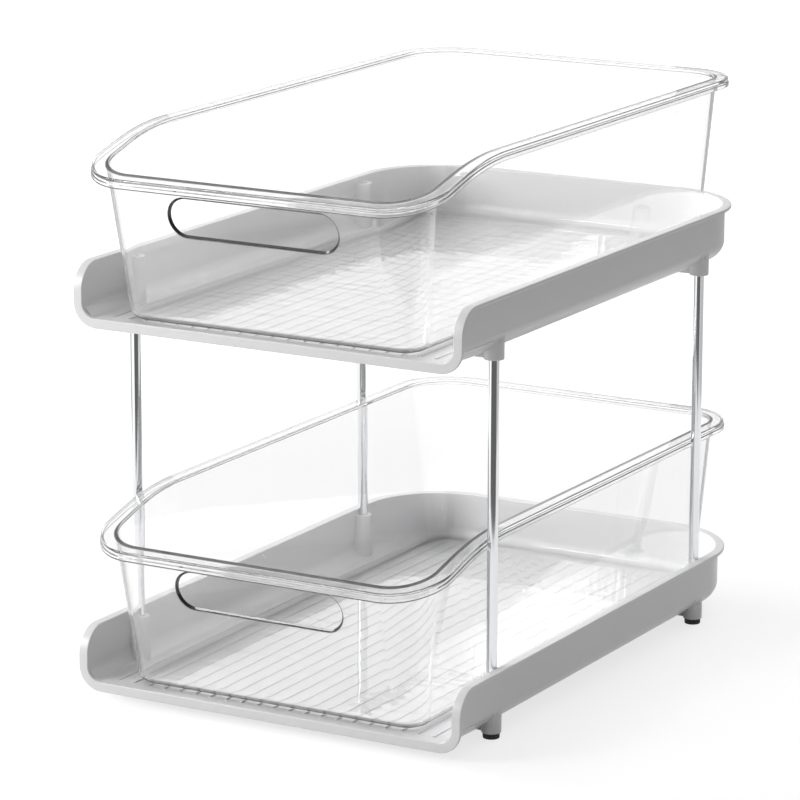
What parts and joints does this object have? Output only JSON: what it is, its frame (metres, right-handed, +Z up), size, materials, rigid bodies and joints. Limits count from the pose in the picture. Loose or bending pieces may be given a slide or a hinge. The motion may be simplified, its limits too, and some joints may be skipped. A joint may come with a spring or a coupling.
{
  "type": "under sink organizer",
  "caption": "Two-tier organizer with clear pull-out bins on moulded trays, joined by plated posts that push into sockets and standing on rubber pads.",
  "frame": {"origin": "centre of the footprint of the whole organizer with its bins in, on the surface that it stands on", "axes": "+X to the right seen from the front, +Y to the rear, +Z up; the bins come out towards -Y"},
  "size_m": [0.27, 0.44, 0.3549],
  "materials": {
    "tray_plastic": "satin moulded, light grey",
    "post_metal": "bright plated",
    "pad_rubber": "matt black",
    "bin_clear": "crystal clear, polished"
  },
  "bodies": {
    "root": {"lower_tray": "tray_plastic", "upper_tray": "tray_plastic", "post_front_left": "post_metal", "post_front_right": "post_metal", "post_rear_left": "post_metal", "post_rear_right": "post_metal", "foot_front_left": "pad_rubber", "foot_front_right": "pad_rubber", "foot_rear_left": "pad_rubber", "foot_rear_right": "pad_rubber"},
    "lower_bin": {"lower_bin": "bin_clear"},
    "upper_bin": {"upper_bin": "bin_clear"}
  },
  "joints": [
    {"name": "lower_bin_slide", "type": "slide", "parent": "root", "child": "lower_bin", "axis": [0, -1, 0], "range_m": [0, 0.19]},
    {"name": "upper_bin_slide", "type": "slide", "parent": "root", "child": "upper_bin", "axis": [0, -1, 0], "range_m": [0, 0.19]}
  ]
}
